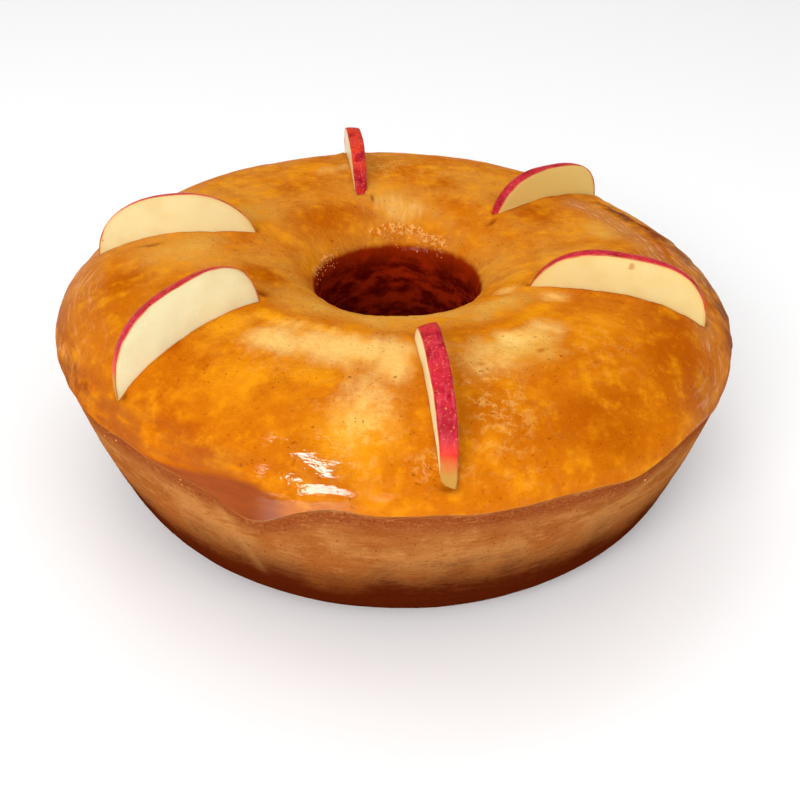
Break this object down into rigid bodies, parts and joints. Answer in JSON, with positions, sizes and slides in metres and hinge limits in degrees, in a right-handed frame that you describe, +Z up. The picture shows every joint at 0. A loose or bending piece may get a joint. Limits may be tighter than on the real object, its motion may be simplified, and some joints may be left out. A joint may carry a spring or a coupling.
{
  "type": "ring cake",
  "caption": "Ring-shaped cake with a domed golden crust, tapered brown sides and apple slices standing upright around its top.",
  "frame": {"origin": "centre of the cake's flat base, on the axis of its hole", "axes": "+Z up along the hole, -Y towards the pictured side, +X to that view's right"},
  "size_m": [0.2709, 0.2722, 0.1078],
  "materials": {
    "crust": "golden baked crust under a thin clear glaze, semi-gloss, with matte brown sides",
    "apple": "moist cream apple flesh, satin, with red peel on the round edge"
  },
  "bodies": {
    "root": {"cake": "crust", "apple_slice_front": "apple", "apple_slice_right": "apple", "apple_slice_back_right": "apple", "apple_slice_back": "apple", "apple_slice_back_left": "apple", "apple_slice_front_left": "apple"}
  },
  "joints": []
}
